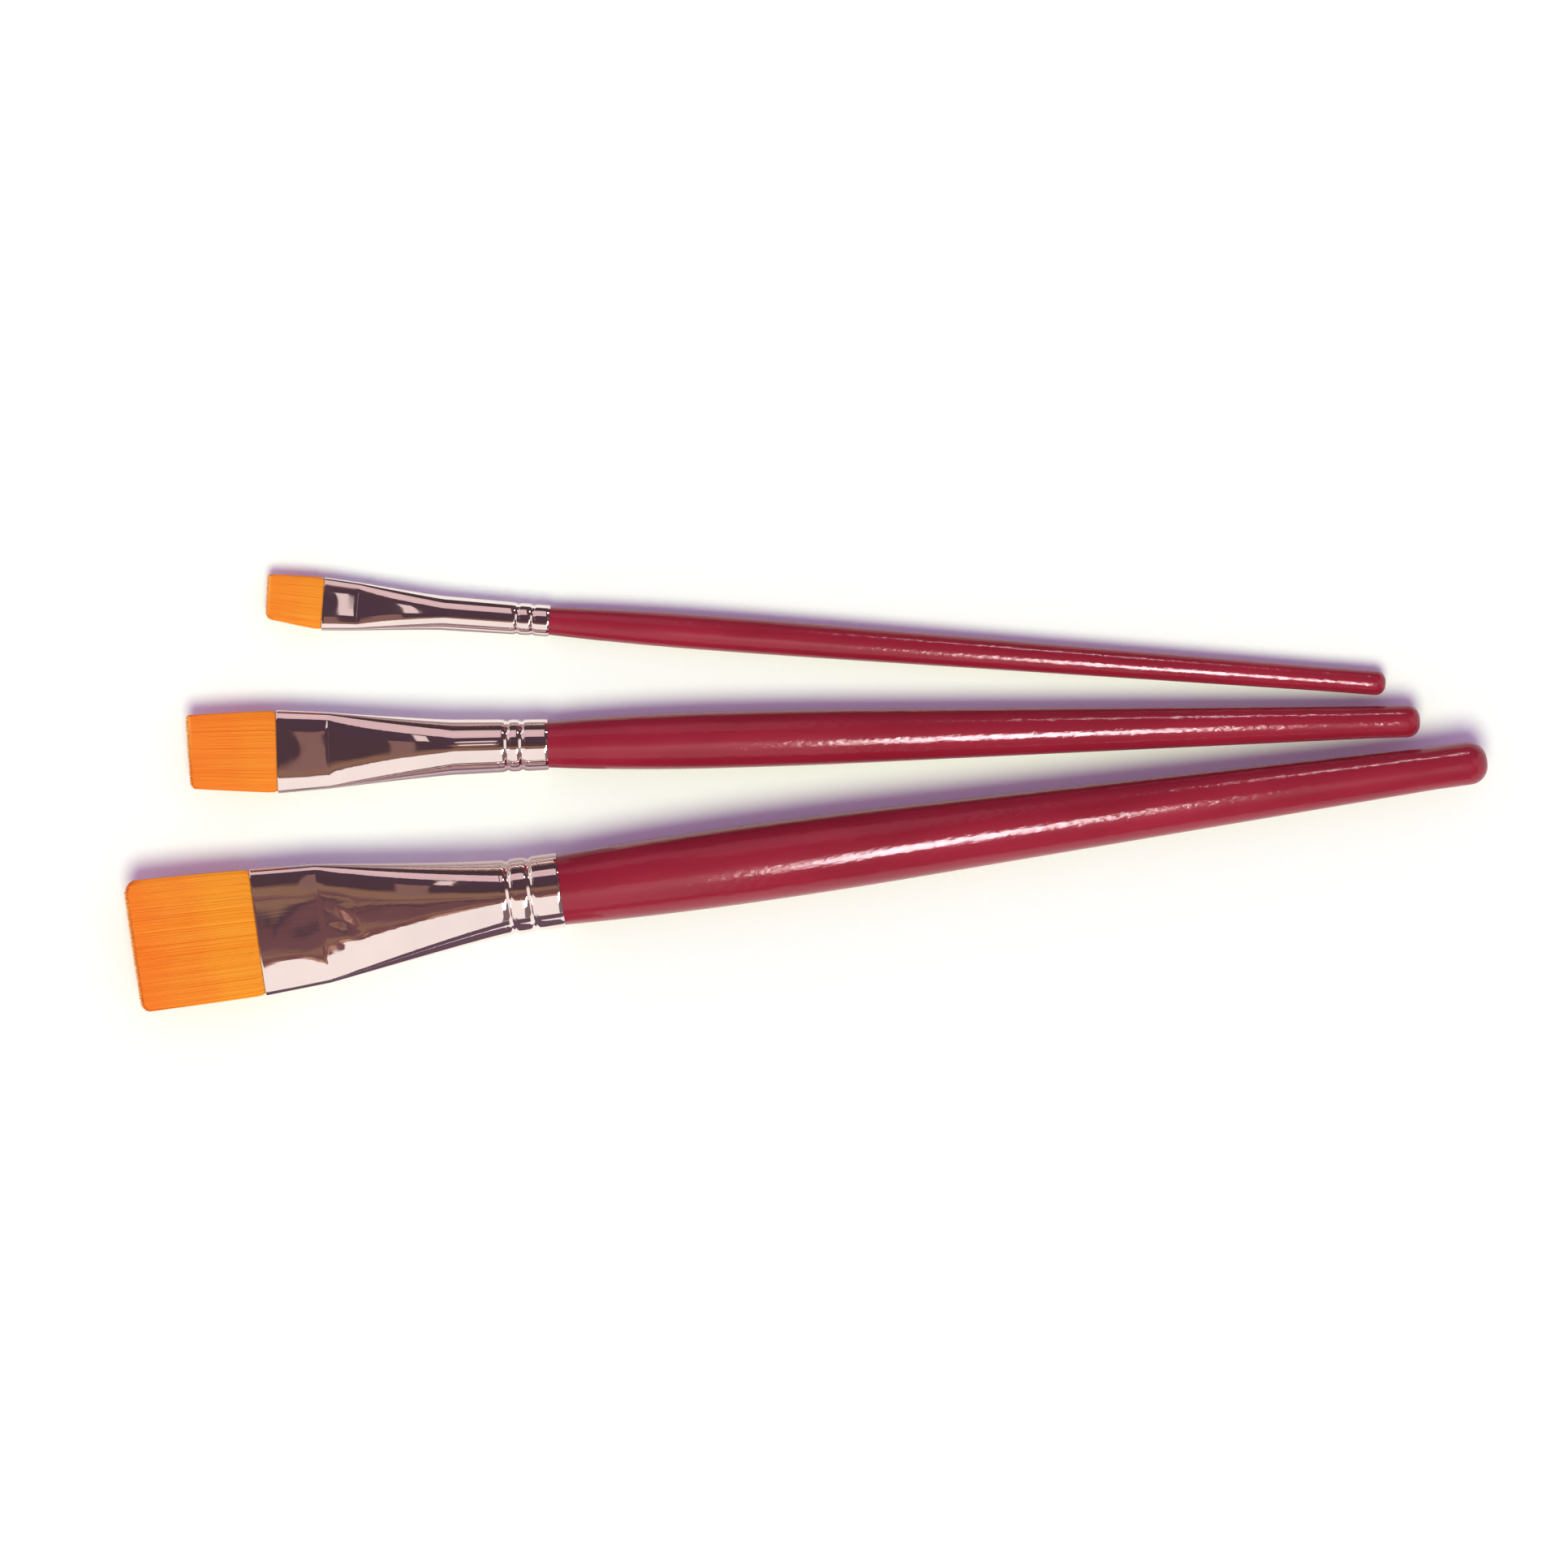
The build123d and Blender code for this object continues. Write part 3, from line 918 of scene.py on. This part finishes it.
def hair_point(b, share, lift, s, shorter=0.0, fill=1.0):
    """A point on a hair, s of the way from its root inside the mouth to its tip."""
    side = share * b.tip_width / 2
    length = (strand_length(b, side, lift) - shorter) * fill
    tip_height = b.tip_thickness / 2 * (1 - abs(share) ** TIP_POWER) ** (1 / TIP_POWER)
    tip = Vector((-length, side + b.tip_lean, lift * tip_height))
    point = hollow_point(b, ROOT_STATION, share, lift).lerp(tip, s)
    bulge = (b.wall + SEAT_GAP + SPILL) * (1 - s)
    point.y += share * bulge * (1 - math.exp(min(0, point.x) / SPILL_RUN))
    point.z += lift * SWELL * b.mouth_thickness / 2 * math.sin(math.pi * s)
    return point


def hair_stops(b):
    """Where a hair's rings lie, as shares of the way from its root to its tip."""
    return [stop / (b.tuft_length + ROOT_STATION) for stop in RIM_STOPS] + list(FREE_STOPS)


def add_core(b, vertices, faces, chance):
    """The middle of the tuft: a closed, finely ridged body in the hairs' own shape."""
    columns = 2 * b.strand_columns + 1
    ridges = [CORE_LIFT - CORE_RIDGE * chance.random() * (j % 2) for j in range(columns)]
    shares = [CORE_SPAN * (2 * j / (columns - 1) - 1) for j in range(columns)]
    around = list(zip(shares, ridges))
    around += [(u, -lift) for u, lift in reversed(around)]
    first = len(vertices)
    vertices += [hollow_point(b, b.hair_depth, u, lift) for u, lift in around]
    for s in hair_stops(b):
        vertices += [hair_point(b, u, lift, s, fill=CORE_LENGTH) for u, lift in around]
    faces += tube_faces(1 + len(hair_stops(b)), len(around), first)
    last = len(vertices) - len(around)
    for j in range(columns - 1):
        k = len(around) - 1 - j
        faces.append((first + j, first + k, first + k - 1, first + j + 1))
        faces.append((last + j, last + j + 1, last + k - 1, last + k))


def make_tuft(b, material):
    """Rows of tapered filaments round a packed core, cut square across the tip."""
    chance = random.Random(b.strand_columns)
    stops = hair_stops(b)
    vertices, faces = [], []
    add_core(b, vertices, faces, chance)
    for row in range(b.strand_rows):
        row_share = (2 * row + 1) / b.strand_rows - 1
        for column in range(b.strand_columns):
            share = STRAND_SPAN * (2 * (column + chance.random()) / b.strand_columns - 1)
            lift = row_share + LIFT_SCATTER * (chance.random() - 0.5) / b.strand_rows
            shorter = RAGGED * chance.random() ** 2
            bend = Vector((0, chance.gauss(0, BEND_ACROSS), chance.gauss(0, BEND_UP)))
            turn = chance.random() * 2 * math.pi
            first = len(vertices)
            for s in stops:
                middle = hair_point(b, share, lift, s, shorter)
                middle += bend * math.sin(math.pi * s)
                thinned = max(0, s - THINNING_START) / (1 - THINNING_START)
                radius = STRAND_RADIUS * (1 - STRAND_THINNING * thinned)
                for k in range(STRAND_SIDES):
                    angle = turn + 2 * math.pi * k / STRAND_SIDES
                    side = Vector((0, math.cos(angle), math.sin(angle)))
                    vertices.append(middle + radius * side)
            faces += tube_faces(len(stops), STRAND_SIDES, first, flip=True)
            last = len(vertices) - STRAND_SIDES
            faces.append(tuple(range(first, first + STRAND_SIDES)))
            faces.append(tuple(range(last, last + STRAND_SIDES))[::-1])
    add_piece(b, "tuft", "bristles", vertices, faces, material, TUFT_SHARP)


STREAK_TINT = (0.98, 0.92, 0.88)
# painted shade where the hair goes into the mouth of the ferrule
MOUTH_SHADE = (0.25, 0.09, 0.02)
# a painted pale highlight along the cut tips
TIP_SHINE = (1.0, 0.56, 0.14)


def hair_material(b):
    """Golden filament: paler at the ferrule, redder towards the tip, in fine streaks, with
    painted shade at the mouth and a painted pale highlight along the cut tips."""
    material, shader, principled, place = new_material(f"{b.name}_golden_filament")
    length = b.tuft_length * MM
    along = shader.spread(shader.axis(place, "X"), -length, 0)
    wander = shader.noise(shader.stretch(place, (90, 260, 260)), 1.0, detail=2.0)
    mixed = shader.math("ADD", along, shader.math("MULTIPLY", wander, 0.5))
    reddish, orange, golden = b.hair_tones
    tones = [(0.2, reddish), (0.5, orange), (0.75, orange), (1.0, golden)]
    base = shader.ramp(mixed, tones)
    streak = shader.noise(shader.stretch(place, (25, 3200, 1600)), 1.0, detail=2.0)
    dark = shader.blend(1.0, base, STREAK_TINT, "MULTIPLY")
    colour = shader.blend(shader.spread(streak, 0.38, 0.62), dark, base)
    # Painted shade: the hair darkens where it goes into the mouth.
    mouth_shade_mask = shader.spread(shader.axis(place, "X"), -0.3 * MM, 0.0, 0.0, 0.7)
    colour = shader.blend(mouth_shade_mask, colour, MOUTH_SHADE)
    # Painted highlight: the cut tips are paler in their last 0.8 mm.
    tip_highlight_mask = shader.spread(shader.axis(place, "X"), -length, 0.8 * MM - length, 0.9, 0.0)
    colour = shader.blend(tip_highlight_mask, colour, TIP_SHINE)
    shader.link(colour, principled.inputs["Base Color"])
    shader.set(principled, Roughness=0.5, Specular_IOR_Level=0.15)
    return material


# ---------------------------------------------------------------- resin plug

PLUG_STEP = 1.0


def make_plug(b, material):
    """The resin that holds the hair: it fills the ferrule behind the roots."""
    start = b.hair_depth + SEAT_GAP
    end = start + b.plug_length - 2 * SEAT_GAP
    inset = b.wall + SEAT_GAP
    stations = spaced(start, end, PLUG_STEP) + [end]
    vertices = []
    for x in stations:
        half_width, half_thickness, power = ferrule_section(b, x)
        vertices += section_points(x, half_width - inset, half_thickness - inset, power)
    faces = tube_faces(len(stations), FERRULE_SEGMENTS)
    last = len(vertices) - FERRULE_SEGMENTS
    faces.append(tuple(range(FERRULE_SEGMENTS))[::-1])
    faces.append(tuple(range(last, last + FERRULE_SEGMENTS)))
    add_piece(b, "resin", "resin_plug", vertices, faces, material)


def resin_material():
    """Clear amber resin with a few clouds in it."""
    material, shader, principled, place = new_material("amber_resin")
    cloud = shader.noise(place, 300.0, detail=3.0)
    colour = shader.ramp(cloud, [(0.3, (0.62, 0.46, 0.22)), (0.7, (0.78, 0.64, 0.38))])
    shader.link(colour, principled.inputs["Base Color"])
    shader.set(principled, Roughness=0.18, Coat_Weight=0.4, Coat_Roughness=0.1)
    return material


metal = metal_material()
lacquer = lacquer_material()
resin = resin_material()
for brush in (LARGE, MEDIUM, SMALL):
    settle(brush)
    make_ferrule(brush, metal)
    make_handle(brush, lacquer)
    make_tuft(brush, hair_material(brush))
    make_plug(brush, resin)

bpy.context.scene.view_settings.view_transform = "Standard"
